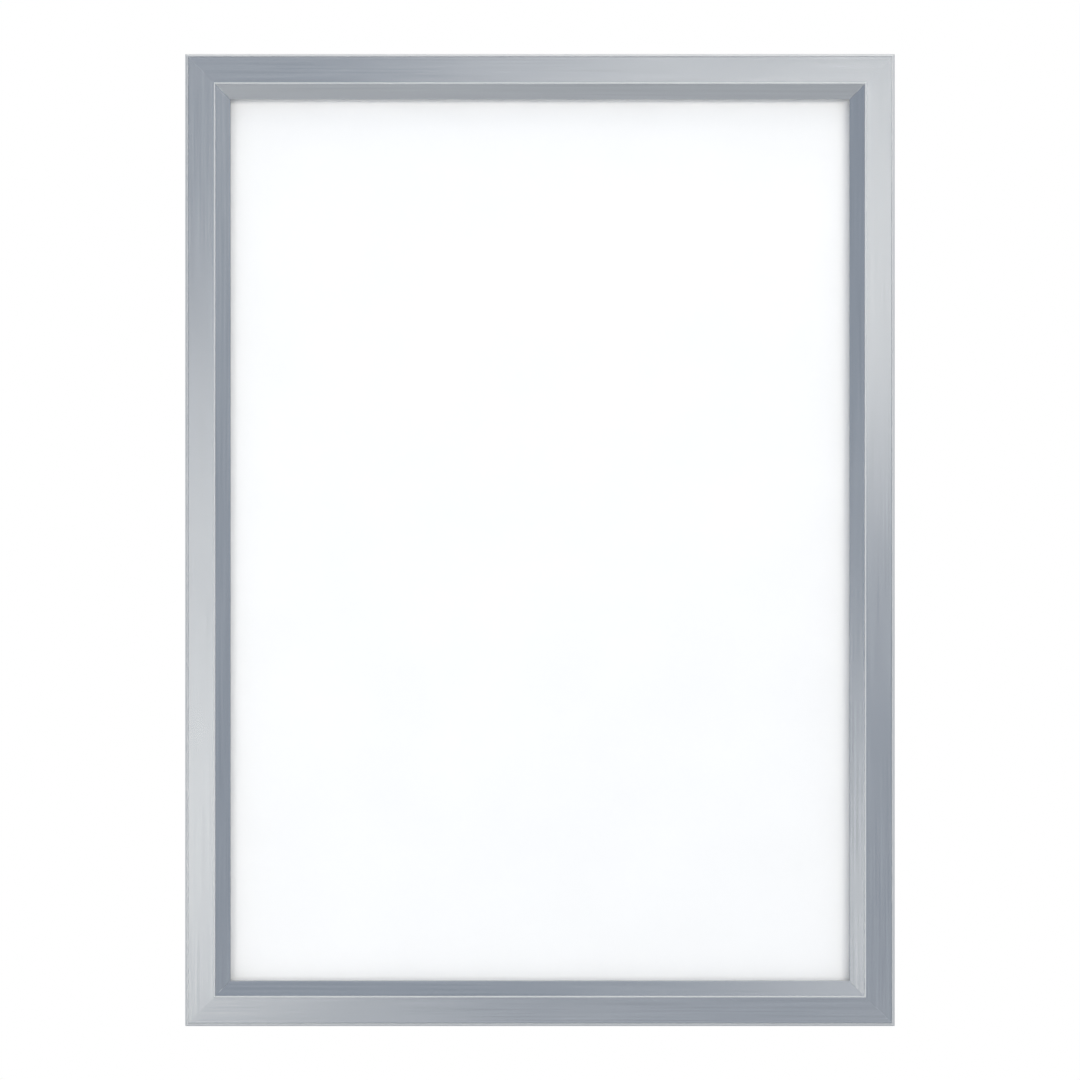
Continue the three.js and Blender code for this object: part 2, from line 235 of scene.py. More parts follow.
def settled(piece, place, sharp=28):
    """Ends a bar with its map and its place, and keeps edges crisp past this angle, in degrees."""
    layer = piece.data.uv_layers.new(name="around_along")
    for loop in piece.data.loops:
        u, v, s = piece.data.vertices[loop.vertex_index].co
        layer.data[loop.index].uv = (u + v / 2, s)
    piece.data.set_sharp_from_angle(angle=math.radians(sharp))
    piece.data.transform(place)
    applied(piece, "WEIGHTED_NORMAL", keep_sharp=True)


def bar_tree():
    """Draws a flat outline into a bar along Z. Slope 1 saws both ends at 45 degrees, and 0 square."""
    tree, given = tree_with("sawn_bar", "GeometryNodeTree", {
        "Outline": "Geometry", "Length": 0.2, "Slope": 1.0,
        "Gap at the wall": 0.0001, "Gap at the front": 0.0001, "Depth": 0.01,
    }, {"Bar": "Geometry"})
    drawn = node(tree, "GeometryNodeExtrudeMesh", {
        "Mesh": given["Outline"], "Offset": (0, 0, 1), "Offset Scale": 1.0, "Individual": False,
    })
    back = node(tree, "GeometryNodeFlipFaces", {"Mesh": given["Outline"]})
    both = node(tree, "GeometryNodeJoinGeometry", {
        "Geometry": [drawn.outputs["Mesh"], back.outputs["Mesh"]],
    })
    closed = node(tree, "GeometryNodeMergeByDistance", {
        "Geometry": both.outputs[0], "Distance": 1e-7,
    })
    place = parts_of(tree, node(tree, "GeometryNodeInputPosition").outputs[0])
    gap = carried(
        tree, place["Y"], (0.0, given["Depth"]), (given["Gap at the wall"], given["Gap at the front"]),
    )
    half = maths(tree, "MULTIPLY", given["Length"], 0.5)
    slant = maths(tree, "MULTIPLY", place["X"], given["Slope"])
    reach = maths(tree, "SUBTRACT", half, maths(tree, "ADD", slant, gap))
    end = carried(tree, place["Z"], (0.0, 1.0), (-1.0, 1.0))
    bar = node(tree, "GeometryNodeSetPosition", {
        "Geometry": closed.outputs[0],
        "Position": point(tree, place["X"], place["Y"], maths(tree, "MULTIPLY", reach, end)),
    })
    node(tree, "NodeGroupOutput", {0: bar.outputs[0]})
    return tree


def finished(tree, geometry, material, ends=None):
    """The last nodes of a tree: realised, smooth, in one material, with another on its sawn ends."""
    real = node(tree, "GeometryNodeRealizeInstances", {"Geometry": geometry})
    smooth = node(tree, "GeometryNodeSetShadeSmooth", {"Geometry": real.outputs[0]})
    coated = node(tree, "GeometryNodeSetMaterial", {
        "Geometry": smooth.outputs[0], "Material": material,
    })
    if ends is not None:
        facing = parts_of(tree, node(tree, "GeometryNodeInputNormal").outputs[0])
        is_end = maths(tree, "GREATER_THAN", maths(tree, "ABSOLUTE", facing["Z"]), 0.5)
        coated = node(tree, "GeometryNodeSetMaterial", {
            "Geometry": coated.outputs[0], "Selection": is_end, "Material": ends,
        })
    node(tree, "NodeGroupOutput", {0: coated.outputs[0]})


def grain_group():
    """Fine lines along a drawn, rolled or brushed metal, from a place given as (around, along)."""
    tree, given = tree_with("metal_grain", "ShaderNodeTree", {
        "Place": "Vector", "Line width": 0.0003, "Line length": 0.03, "Cloud size": 0.04,
    }, {"Lines": "Float", "Clouds": "Float"})
    counted = node(tree, "ShaderNodeVectorMath", {
        0: given["Place"], 1: point(tree, given["Line width"], given["Line length"], 1.0),
    }, operation="DIVIDE")
    lines = node(tree, "ShaderNodeTexNoise", {
        "Vector": counted.outputs[0], "Scale": 1.0, "Detail": 3.0, "Roughness": 0.6,
    }, noise_dimensions="2D")
    spread = node(tree, "ShaderNodeVectorMath", {
        0: given["Place"], 1: given["Cloud size"],
    }, operation="DIVIDE")
    clouds = node(tree, "ShaderNodeTexNoise", {
        "Vector": spread.outputs[0], "Scale": 1.0, "Detail": 2.0,
    }, noise_dimensions="2D")
    node(tree, "NodeGroupOutput", {0: lines.outputs[0], 1: clouds.outputs[0]})
    return tree


def new_material(name):
    """A material whose node tree is empty, and that tree."""
    material = bpy.data.materials.new(name)
    material.use_nodes = True
    material.node_tree.nodes.clear()
    return material, material.node_tree


def mixed(tree, share, first, second):
    """The colour that a share from 0 to 1 mixes out of two."""
    return node(tree, "ShaderNodeMix", {
        "Factor": share, 6: first, 7: second,
    }, data_type="RGBA").outputs[2]


def relief(tree, height, distance):
    """The tilt that a height map gives to a surface, for its highest points this far out."""
    return node(tree, "ShaderNodeBump", {
        "Height": height, "Strength": 1.0, "Distance": distance,
    }).outputs[0]


def faced(tree, feeds):
    """Ends a material with its one surface."""
    surface = node(tree, "ShaderNodeBsdfPrincipled", feeds)
    node(tree, "ShaderNodeOutputMaterial", {"Surface": surface.outputs[0]})


metal_grain = grain_group()


def grained_metal(name, dark, light, roughness, line, cloud_size, bump, anisotropy):
    """A metal with its grain along the piece: both greys, both roughnesses and the lines follow it."""
    material, tree = new_material(name)
    grain = node(tree, "ShaderNodeGroup", {
        "Place": node(tree, "ShaderNodeUVMap", uv_map="around_along").outputs[0],
        "Line width": line[0], "Line length": line[1], "Cloud size": cloud_size,
    }, node_tree=metal_grain)
    both = maths(tree, "ADD", grain.outputs["Lines"], grain.outputs["Clouds"])
    faced(tree, {
        "Base Color": mixed(tree, grain.outputs["Lines"], (*dark, 1), (*light, 1)),
        "Roughness": carried(tree, both, (0.6, 1.4), roughness),
        "Metallic": 1.0,
        "Normal": relief(tree, grain.outputs["Lines"], bump),
        "Anisotropic": anisotropy,
        "Tangent": node(
            tree, "ShaderNodeTangent", direction_type="UV_MAP", uv_map="around_along",
        ).outputs[0],
    })
    return material


mill_aluminium = grained_metal(
    "mill_aluminium", dark=(0.50, 0.51, 0.52), light=(0.60, 0.61, 0.62), roughness=(0.36, 0.5),
    line=(0.0004, 0.25), cloud_size=0.03, bump=3e-6, anisotropy=0.4,
)
sawn_aluminium = grained_metal(
    "sawn_aluminium", dark=(0.55, 0.55, 0.56), light=(0.68, 0.68, 0.68), roughness=(0.3, 0.45),
    line=(0.02, 0.0002), cloud_size=0.01, bump=6e-6, anisotropy=0.2,
)
sawn_bar = bar_tree()


def base_rail_tree():
    """A mitred bar, drilled and recessed for two wall screws where the rail carries them."""
    tree, given = tree_with("base_rail", "GeometryNodeTree", {
        "Outline": "Geometry", "Length": 0.2, "Mitre gap": 0.0001, "Has wall holes": False,
        "Hole place": 0.07, "Hole radius": 0.002, "Head radius": 0.003,
        "Floor thickness": 0.001, "Channel middle": 0.008,
    }, {"Rail": "Geometry"})
    bar = node(tree, "GeometryNodeGroup", {
        "Outline": given["Outline"], "Length": given["Length"],
        "Gap at the wall": given["Mitre gap"], "Gap at the front": given["Mitre gap"],
    }, node_tree=sawn_bar)
    hole = node(tree, "GeometryNodeMeshCylinder", {
        "Vertices": 64, "Radius": given["Hole radius"], "Depth": 2 * drill_length,
    })
    recess = node(tree, "GeometryNodeMeshCylinder", {
        "Vertices": 64, "Radius": given["Head radius"], "Depth": drill_length,
    })
    lift = maths(tree, "ADD", given["Floor thickness"], drill_length / 2)
    drills = (
        moved(tree, hole.outputs[0], turn=upright),
        moved(tree, recess.outputs[0], point(tree, y=lift), upright),
    )
    cutters = []
    for distance in (given["Hole place"], maths(tree, "MULTIPLY", given["Hole place"], -1.0)):
        spot = point(tree, x=given["Channel middle"], z=distance)
        cutters += [moved(tree, drill, spot) for drill in drills]
    drilled = node(tree, "GeometryNodeMeshBoolean", {
        "Mesh 1": bar.outputs[0], "Mesh 2": cutters,
    }, operation="DIFFERENCE", solver="EXACT")
    chosen = node(tree, "GeometryNodeSwitch", {
        "Switch": given["Has wall holes"], "False": bar.outputs[0], "True": drilled.outputs[0],
    }, input_type="GEOMETRY")
    finished(tree, chosen.outputs[0], mill_aluminium, sawn_aluminium)
    return tree


base_outline = eased(
    (0, 0, base_edge),
    *[
        (start + step * relief_width, lift * relief_depth)
        for start in relief_starts
        for step, lift in ((0, 0), (0, 1), (1, 1), (1, 0))
    ],
    (floor_width, 0, base_edge),
    (floor_width, floor_thickness, base_edge),
    (seat_rib_inside, floor_thickness, rib_root),
    (seat_rib_inside, seat_rib_top, base_edge),
    (seat_rib_outside, seat_rib_top, channel_edge),
    (seat_rib_outside, lip_top, channel_edge),
    (seat_rib_outside - lip_reach, lip_top, channel_edge),
    (seat_rib_outside - lip_reach, lip_underside, channel_edge),
    (seat_rib_outside, lip_underside, lip_root),
    (seat_rib_outside, floor_thickness, channel_edge),
    (first_rib_inside, floor_thickness, channel_edge),
    (first_rib_inside, lip_underside, lip_root),
    (first_rib_inside + lip_reach, lip_underside, channel_edge),
    (first_rib_inside + lip_reach, lip_top, channel_edge),
    (first_rib_outside, lip_top, shoulder_edge),
    (first_rib_outside, floor_thickness, rib_root),
    (neck_inside, floor_thickness, neck_root),
    *[tuple(spot) for spot in arc(
        pivot, bead_radius,
        -math.degrees(math.acos((neck_inside - pivot.x) / bead_radius)),
        360 - math.degrees(math.acos((neck_outside - pivot.x) / bead_radius)), steps=32,
    )],
    (neck_outside, floor_thickness, neck_root),
    (0, floor_thickness, base_edge),
)
base_rail = base_rail_tree()
for side, (_, length, _) in sides.items():
    rail = made_by(
        base_rail, f"drawn_base_rail_{side}", face_of("base_outline", base_outline),
        {
            "Length": length, "Mitre gap": base_mitre_gap, "Has wall holes": side in ("top", "bottom"),
            "Hole place": hole_from_middle, "Hole radius": hole_radius,
            "Head radius": head_recess_radius, "Floor thickness": floor_thickness,
            "Channel middle": channel_middle,
        },
    )
    settled(rail, place_of(side))
    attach(rail, "root")
    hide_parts(f"base_rail_{side}")

# The corner keys. Four L plates stamped from zinc-plated steel slide under the lips of the channels, and
# hold the mitred base rails square. Their edges are rolled over a little by the press.

key_back = 1.3 * mm
key_thickness = 1.2 * mm
key_near = 5.8 * mm
key_far = 10.8 * mm
key_tip = 29.8 * mm
key_corner = 1 * mm
key_edge = 0.12 * mm
rolled_over = math.radians(50)
crisp_from = math.radians(60)
screw_from_corner = 24.8 * mm
screw_places = ((screw_from_corner, channel_middle), (channel_middle, screw_from_corner))
screw_radius = 1.5 * mm
thread_gap = 0.04 * mm
noise_span = (0.3, 0.7)


def corner_tree():
    """Puts a piece drawn for the bottom left corner into all four, a quarter turn on each time."""
    tree, given = tree_with("in_each_corner", "GeometryNodeTree", {
        "Piece": "Geometry", "Frame width": 0.2, "Frame height": 0.3,
    }, {"Pieces": "Geometry"})
    number = node(tree, "GeometryNodeInputIndex").outputs[0]
    turn = maths(tree, "MULTIPLY", number, math.radians(90))
    bearing = maths(tree, "ADD", turn, math.radians(45))
    places = []
    for reach, way in (("Frame width", "COSINE"), ("Frame height", "SINE")):
        sign = maths(tree, "SIGN", maths(tree, way, bearing))
        far = maths(tree, "MULTIPLY", given[reach], -0.5)
        places.append(maths(tree, "MULTIPLY", sign, far))
    corners = node(tree, "GeometryNodePoints", {
        "Count": 4, "Position": point(tree, x=places[0], z=places[1]),
    })
    spin = node(tree, "FunctionNodeEulerToRotation", {
        0: point(tree, y=maths(tree, "MULTIPLY", turn, -1.0)),
    })
    placed = node(tree, "GeometryNodeInstanceOnPoints", {
        "Points": corners.outputs[0], "Instance": given["Piece"], "Rotation": spin.outputs[0],
    })
    node(tree, "NodeGroupOutput", {0: placed.outputs[0]})
    return tree


def plated_steel():
    """Zinc plating: a cool grey with faint crystals, a little duller in places."""
    material, tree = new_material("zinc_plated_steel")
    place = node(tree, "ShaderNodeTexCoord").outputs["Object"]
    crystals = node(tree, "ShaderNodeTexVoronoi", {"Vector": place, "Scale": 900.0})
    dull = node(tree, "ShaderNodeTexNoise", {"Vector": place, "Scale": 220.0, "Detail": 3.0})
    faced(tree, {
        "Base Color": mixed(
            tree, crystals.outputs["Distance"], (0.52, 0.55, 0.58, 1), (0.40, 0.42, 0.45, 1),
        ),
        "Roughness": carried(tree, dull.outputs[0], noise_span, (0.28, 0.46)),
        "Metallic": 1.0,
        "Normal": relief(tree, dull.outputs[0], 8e-6),
    })
    return material


in_each_corner = corner_tree()


def in_the_corners(tree, geometry, given):
    """Four of a piece, at the corners of a frame as wide and as high as the tree is given."""
    return node(tree, "GeometryNodeGroup", {
        "Piece": geometry, "Frame width": given["Frame width"], "Frame height": given["Frame height"],
    }, node_tree=in_each_corner).outputs[0]


def plate_from(tree, given):
    """A plate cut square along its outline, as thick as the tree is given."""
    return node(tree, "GeometryNodeGroup", {
        "Outline": given["Outline"], "Length": given["Thickness"],
        "Slope": 0.0, "Gap at the wall": 0.0, "Gap at the front": 0.0,
    }, node_tree=sawn_bar).outputs[0]


def stood_up(tree, plate, given):
    """Turns a plate to face the viewer, with its back as far from the wall as the tree is given."""
    half = maths(tree, "MULTIPLY", given["Thickness"], 0.5)
    middle = maths(tree, "ADD", half, given["From the wall"])
    return moved(tree, plate, point(tree, y=maths(tree, "MULTIPLY", middle, -1.0)), upright)


def key_tree():
    """A plate with two tapped holes, stood up in each corner."""
    tree, given = tree_with("corner_keys", "GeometryNodeTree", {
        "Outline": "Geometry", "Frame width": 0.2, "Frame height": 0.3,
        "Thickness": 0.001, "From the wall": 0.001, "Hole radius": 0.0015,
    }, {"Keys": "Geometry"})
    plate = plate_from(tree, given)
    hole = node(tree, "GeometryNodeMeshCylinder", {
        "Vertices": 48, "Radius": given["Hole radius"], "Depth": drill_length,
    })
    tapped = node(tree, "GeometryNodeMeshBoolean", {
        "Mesh 1": plate, "Mesh 2": [moved(tree, hole.outputs[0], (*spot, 0)) for spot in screw_places],
    }, operation="DIFFERENCE", solver="EXACT")
    standing = stood_up(tree, tapped.outputs[0], given)
    finished(tree, in_the_corners(tree, standing, given), plated_steel())
    return tree


key_outline = eased(
    (key_near, key_near, key_corner), (key_tip, key_near, key_corner), (key_tip, key_far, key_corner),
    (key_far, key_far), (key_far, key_tip, key_corner), (key_near, key_tip, key_corner),
)
keys = made_by(
    key_tree(), "corner_keys", face_of("key_outline", key_outline),
    {
        "Frame width": frame_width, "Frame height": frame_height, "Thickness": key_thickness,
        "From the wall": key_back, "Hole radius": screw_radius + thread_gap,
    },
)
applied(keys, "BEVEL", width=key_edge, segments=2, angle_limit=rolled_over)
keys.data.set_sharp_from_angle(angle=crisp_from)
applied(keys, "WEIGHTED_NORMAL", keep_sharp=True)
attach(keys, "root")
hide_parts(*[f"corner_key_{v}_{h}" for v in ("top", "bottom") for h in ("left", "right")])

# The set screws. Two blackened steel screws in each key are driven against the rail's floor with a hex
# wrench, and jam the key under the lips. They are cut from threaded rod and chamfered at both ends.

screw_length = 2 * mm
screw_chamfer = 0.3 * mm
thread_depth = 0.16 * mm
thread_pitch = 0.5 * mm
crisp_thread = math.radians(35)
socket_radius = 0.87 * mm
socket_depth = 1.2 * mm


def turned(profile, turns=40):
    """A solid turned round Z from (radius, height) points, whose first and last lie on the axis."""
    solid = bmesh.new()
    rings = [
        [
            solid.verts.new((r * math.cos(a), r * math.sin(a), h))
            for a in (2 * math.pi * i / turns for i in range(turns))
        ]
        for r, h in profile[1:-1]
    ]
    for low, high in zip(rings, rings[1:]):
        for i in range(turns):
            j = (i + 1) % turns
            solid.faces.new((low[i], low[j], high[j], high[i]))
    solid.faces.new(reversed(rings[0]))
    solid.faces.new(rings[-1])
    mesh = bpy.data.meshes.new("turned")
    solid.to_mesh(mesh)
    solid.free()
    return mesh


def blackened_steel():
    """Black oxide on steel: nearly black, with worn bright specks where the wrench and threads rub."""
    material, tree = new_material("black_steel")
    place = node(tree, "ShaderNodeTexCoord").outputs["Object"]
    specks = node(tree, "ShaderNodeTexNoise", {"Vector": place, "Scale": 2500.0, "Detail": 4.0})
    worn = carried(tree, specks.outputs[0], (0.56, 0.72))
    faced(tree, {
        "Base Color": mixed(tree, worn, (0.025, 0.026, 0.028, 1), (0.10, 0.10, 0.11, 1)),
        "Roughness": carried(tree, specks.outputs[0], noise_span, (0.52, 0.36)),
        "Metallic": 0.6,
    })
    return material


def screw_tree():
    """A turned blank with a hex socket, set twice along each key, in each corner."""
    tree, given = tree_with("set_screws", "GeometryNodeTree", {
        "Blank": "Geometry", "Frame width": 0.2, "Frame height": 0.3, "Length": 0.002,
        "From the wall": 0.001, "Socket radius": 0.0009, "Socket depth": 0.001,
    }, {"Screws": "Geometry"})
    hexagon = node(tree, "GeometryNodeMeshCylinder", {
        "Vertices": 6, "Radius": given["Socket radius"],
        "Depth": maths(tree, "MULTIPLY", given["Socket depth"], 2.0),
    })
    wrench = moved(tree, hexagon.outputs[0], point(tree, z=given["Length"]))
    socketed = node(tree, "GeometryNodeMeshBoolean", {
        "Mesh 1": given["Blank"], "Mesh 2": wrench,
    }, operation="DIFFERENCE", solver="EXACT")
    pair = node(tree, "GeometryNodeJoinGeometry", {"Geometry": [
        moved(tree, socketed.outputs[0], point(tree, *spot, given["From the wall"]))
        for spot in screw_places
    ]})
    standing = moved(tree, pair.outputs[0], turn=upright)
    finished(tree, in_the_corners(tree, standing, given), blackened_steel())
    return tree


thread = []
while screw_chamfer + (len(thread) // 2 + 1) * thread_pitch <= screw_length:
    start = screw_chamfer + len(thread) // 2 * thread_pitch
    thread += [(screw_radius, start), (screw_radius - thread_depth, start + thread_pitch / 2)]
blank = turned([
    (0, 0), (screw_radius - screw_chamfer, 0), *thread, (screw_radius, screw_length - screw_chamfer),
    (screw_radius - screw_chamfer, screw_length), (0, screw_length),
])
screws = made_by(screw_tree(), "set_screws", blank, {
    "Frame width": frame_width, "Frame height": frame_height, "Length": screw_length,
    "From the wall": key_back, "Socket radius": socket_radius, "Socket depth": socket_depth,
})
screws.data.set_sharp_from_angle(angle=crisp_thread)
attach(screws, "root")
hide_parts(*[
    f"set_screw_{v}_{h}_{i}" for v in ("top", "bottom") for h in ("left", "right") for i in (1, 2)
])

# The back panel. A white board of hard plastic, 1.2 mm thick, lies on the floors of the base rails and
# stiffens the sheets. It is punched out of rolled stock, so its corners and edges are slightly rounded.

panel_corner = 1.5 * mm
panel_edge = 0.15 * mm
low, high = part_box("back_panel")


def matt_sheet(name, dark, light, roughness, tooth_size, bump):
    """A matt white sheet or board: a fine tooth, and a faint unevenness of its colour."""
    material, tree = new_material(name)
    place = node(tree, "ShaderNodeTexCoord").outputs["Object"]
    tooth = node(tree, "ShaderNodeTexNoise", {
        "Vector": place, "Scale": 1 / tooth_size, "Detail": 5.0,
    }).outputs[0]
    cloud = node(tree, "ShaderNodeTexNoise", {"Vector": place, "Scale": 25.0, "Detail": 2.0})
    shade = carried(tree, maths(tree, "ADD", tooth, cloud.outputs[0]), (0.7, 1.3))
    faced(tree, {
        "Base Color": mixed(tree, shade, (*dark, 1), (*light, 1)),
        "Roughness": carried(tree, tooth, noise_span, roughness),
        "Normal": relief(tree, tooth, bump),
    })
    return material


def board_tree():
    """A plain plate, stood up on the floors of the rails."""
    tree, given = tree_with("backing_board", "GeometryNodeTree", {
        "Outline": "Geometry", "Thickness": 0.001, "From the wall": 0.001,
    }, {"Board": "Geometry"})
    standing = stood_up(tree, plate_from(tree, given), given)
    finished(tree, standing, matt_sheet(
        "back_board", dark=(0.74, 0.74, 0.72), light=(0.80, 0.80, 0.78), roughness=(0.5, 0.62),
        tooth_size=0.0009, bump=1.2e-5,
    ))
    return tree


panel_outline = eased(
    (low.x, low.z, panel_corner), (high.x, low.z, panel_corner),
    (high.x, high.z, panel_corner), (low.x, high.z, panel_corner),
)
panel = made_by(
    board_tree(), "backing_board", face_of("panel_outline", panel_outline),
    {"Thickness": high.y - low.y, "From the wall": -high.y},
)
applied(panel, "BEVEL", width=panel_edge, segments=2, angle_limit=rolled_over)
applied(panel, "WEIGHTED_NORMAL", keep_sharp=True)
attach(panel, "root")
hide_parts("back_panel")

# The insert sheet. A blank sheet of bright white A4 card, which a poster takes the place of. It is
# slipped in from the front with the four snap rails open, and lies loose on the panel.

paper = matt_sheet(
    "paper", dark=(0.915, 0.91, 0.905), light=(0.945, 0.94, 0.935), roughness=(0.85, 0.95),
    tooth_size=0.0004, bump=4e-6,
)
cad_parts["insert_sheet"].data.materials.clear()
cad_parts["insert_sheet"].data.materials.append(paper)

# The cover sheet. A clear, slightly frosted plastic sheet over the insert, which keeps it clean and cuts
# glare. The lips of the snap rails hold its edges down.

cover_alpha = 0.1


def clear_plastic():
    """Clear sheet with a fine frost, which lets nearly all light through to the insert."""
    material, tree = new_material("clear_sheet")
    place = node(tree, "ShaderNodeTexCoord").outputs["Object"]
    frost = node(tree, "ShaderNodeTexNoise", {"Vector": place, "Scale": 3000.0, "Detail": 3.0})
    faced(tree, {
        "Base Color": (0.96, 0.97, 0.98, 1),
        "Roughness": carried(tree, frost.outputs[0], noise_span, (0.22, 0.34)),
        "Normal": relief(tree, frost.outputs[0], 1e-6),
        "Alpha": cover_alpha,
    })
    return material


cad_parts["cover_sheet"].data.materials.clear()
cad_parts["cover_sheet"].data.materials.append(clear_plastic())

# The snap rails. Four covers of satin aluminium extrusion, brushed along their length, anodised and then
# sawn at 45 degrees. A claw behind each one's outer edge turns on the bead of its base rail, and its lip
# holds the sheets down. The front has a fine line near its outer edge, a ridge, and a bevel to the window.
# The highlights along the ridge and along the rounded outer edge are painted into the colour as paler
# lines.

rail_width = 15 * mm
rail_front = 10 * mm
band_height = 9.9 * mm
plate_underside = 8.8 * mm
bevel_underside = ((9.528 * mm, plate_underside), (13.628 * mm, 6.757 * mm))
bevel_root = 0.8 * mm
wall_thickness = 1.1 * mm
wall_foot = 7.12 * mm
wall_edge = 0.1 * mm
wall_root = 0.4 * mm
edge_radius = 0.78 * mm
line_inset = 0.82 * mm
line_width = 0.25 * mm
line_depth = 0.12 * mm
line_edge = 0.03 * mm
line_bottom = 0.02 * mm
ridge = Vector((9.7, 9.699)) * mm
ridge_radius = 0.3 * mm
ridge_end = 138.19
nose = Vector((15.0, 7.322)) * mm
nose_radius = 0.4 * mm
lip_inside = 14 * mm
lip_shoulder = 6.2 * mm
lip_foot = 3.45 * mm
lip_inner_edge = 0.3 * mm
lip_foot_edge = 0.2 * mm
claw_inner = 1.22 * mm
claw_outer = 2.1 * mm
hook_reach = 2.47 * mm
claw_start = -74.71
hook_wall = -63.97
claw_shoulder = 75
claw_end = 137.46
claw_root = plate_underside - 0.3 * mm
gusset_rise = 1 * mm
gusset_steps = 8
claw_notch = 6.0 * mm
highlight_full_share = 0.4
highlight_gone_share = 0.55
snap_gap_at_foot = 0.135 * mm
snap_gap_at_front = 0.012 * mm

plate_outline = eased(
    (0, wall_foot, wall_edge),
    (wall_thickness, wall_foot, wall_edge),
    (wall_thickness, plate_underside, wall_root),
    (*bevel_underside[0], bevel_root),
    (*bevel_underside[1], lip_inner_edge),
    (lip_inside, lip_shoulder, lip_inner_edge),
    (lip_inside, lip_foot, lip_foot_edge),
    (rail_width, lip_foot, lip_foot_edge),
    (*nose, nose_radius),
    *[tuple(spot) for spot in arc(ridge, ridge_radius, 0, ridge_end, steps=12)],
    (line_inset + line_width, band_height, line_edge),
    (line_inset + line_width / 2, band_height - line_depth, line_bottom),
    (line_inset, band_height, line_edge),
    (0, band_height, edge_radius),
    steps=8,
)
shoulder = arc(pivot, claw_outer, claw_shoulder, claw_shoulder, steps=1)[0]
slope = math.tan(math.radians(claw_shoulder))
gusset_foot = shoulder.y + (shoulder.x - wall_thickness) / slope
claw_outline = [
    Vector((wall_thickness, claw_root)),
    Vector((0, claw_root)),
    Vector((0, pivot.y - pivot.x * math.tan(math.radians(claw_end)))),
    *arc(pivot, claw_inner, claw_end, claw_start, steps=40),
    *arc(pivot, hook_reach, claw_start, hook_wall, steps=3),
    *arc(pivot, claw_outer, hook_wall, claw_shoulder, steps=24),
]
gusset_top = pivot.y + claw_outer + gusset_rise
for i in range(1, gusset_steps + 1):
    t = i / gusset_steps
    a, b, c = (1 - t) ** 2, 2 * t * (1 - t), t ** 2
    claw_outline.append(Vector((
        a * shoulder.x + (b + c) * wall_thickness,
        a * shoulder.y + b * gusset_foot + c * gusset_top,
    )))


def painted_highlight_along(material, middle, width, front, colour, roughness):
    """Paints a soft-edged highlight along a bar as a paler, duller line, where it stands out past the front
    height.
    """
    tree = material.node_tree
    surface = next(n for n in tree.nodes if n.type == "BSDF_PRINCIPLED")
    plain = surface.inputs["Base Color"].links[0].from_socket
    satin = surface.inputs["Roughness"].links[0].from_socket
    across = parts_of(tree, node(tree, "ShaderNodeUVMap", uv_map="around_along").outputs[0])
    far = maths(tree, "ABSOLUTE", maths(tree, "SUBTRACT", across["X"], middle))
    line = carried(tree, far, (highlight_full_share * width, highlight_gone_share * width), (1.0, 0.0))
    height = parts_of(tree, node(tree, "ShaderNodeTexCoord").outputs["Object"])
    outside = maths(tree, "LESS_THAN", height["Y"], -front)
    highlight_mask = maths(tree, "MULTIPLY", line, outside)
    tree.links.new(mixed(tree, highlight_mask, plain, (*colour, 1)), surface.inputs["Base Color"])
    dulled = node(tree, "ShaderNodeMix", {"Factor": highlight_mask, 2: satin, 3: roughness})
    tree.links.new(dulled.outputs[0], surface.inputs["Roughness"])


anodised_aluminium = grained_metal(
    "anodised_aluminium", dark=(0.405, 0.417, 0.429), light=(0.490, 0.503, 0.518),
    roughness=(0.19, 0.24), line=(0.0006, 0.06), cloud_size=0.05, bump=1.5e-6, anisotropy=0.3,
)
# Painted highlight: a paler, duller line along the ridge between the flat band and the bevel.
painted_highlight_along(
    anodised_aluminium, middle=14.64 * mm, width=0.44 * mm, front=9.5 * mm,
    colour=(0.61, 0.62, 0.63), roughness=0.6,
)
# Painted highlight: a paler, duller line along the rounded outer edge.
painted_highlight_along(
    anodised_aluminium, middle=5.2 * mm, width=1.2 * mm, front=9.1 * mm,
    colour=(0.57, 0.58, 0.59), roughness=0.6,
)


def snap_rail_tree():
    """A mitred plate and a shorter, square-cut claw behind it, drawn apart and joined into one bar."""
    tree, given = tree_with("snap_rail", "GeometryNodeTree", {
        "Outline": "Geometry", "Claw outline": "Object", "Length": 0.2,
        "Gap at the wall": 0.0001, "Gap at the front": 0.0001, "Depth": 0.01, "Claw notch": 0.006,
    }, {"Rail": "Geometry"})
    plate = node(tree, "GeometryNodeGroup", {"Slope": 1.0, **{
        label: given[label]
        for label in ("Outline", "Length", "Gap at the wall", "Gap at the front", "Depth")
    }}, node_tree=sawn_bar)
    drawn = node(tree, "GeometryNodeObjectInfo", {"Object": given["Claw outline"]})
    claw = node(tree, "GeometryNodeGroup", {
        "Outline": drawn.outputs["Geometry"], "Length": given["Length"], "Slope": 0.0,
        "Gap at the wall": given["Claw notch"], "Gap at the front": given["Claw notch"],
    }, node_tree=sawn_bar)
    whole = node(tree, "GeometryNodeMeshBoolean", {
        "Mesh 2": [plate.outputs[0], claw.outputs[0]],
    }, operation="UNION", solver="EXACT")
    finished(tree, whole.outputs[0], anodised_aluminium, sawn_aluminium)
    return tree


claw_flat = bpy.data.objects.new("claw_outline", face_of("claw_outline", claw_outline))
bpy.context.collection.objects.link(claw_flat)
snap_rail = snap_rail_tree()
for side, (_, length, _) in sides.items():
    rail = made_by(
        snap_rail, f"drawn_snap_rail_{side}", face_of("plate_outline", plate_outline),
        {
            "Claw outline": claw_flat, "Length": length, "Gap at the wall": snap_gap_at_foot,
            "Gap at the front": snap_gap_at_front, "Depth": rail_front, "Claw notch": claw_notch,
        },
    )
    settled(rail, place_of(side))
    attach(rail, f"{side}_rail")
    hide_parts(f"snap_rail_{side}")
bpy.data.objects.remove(claw_flat)

# The leaf springs. Two strips of tempered spring steel in each rail, sheared with their corners rounded
# off and bowed between the claw's hook and the rib. They push a rail shut, or open past its dead centre.

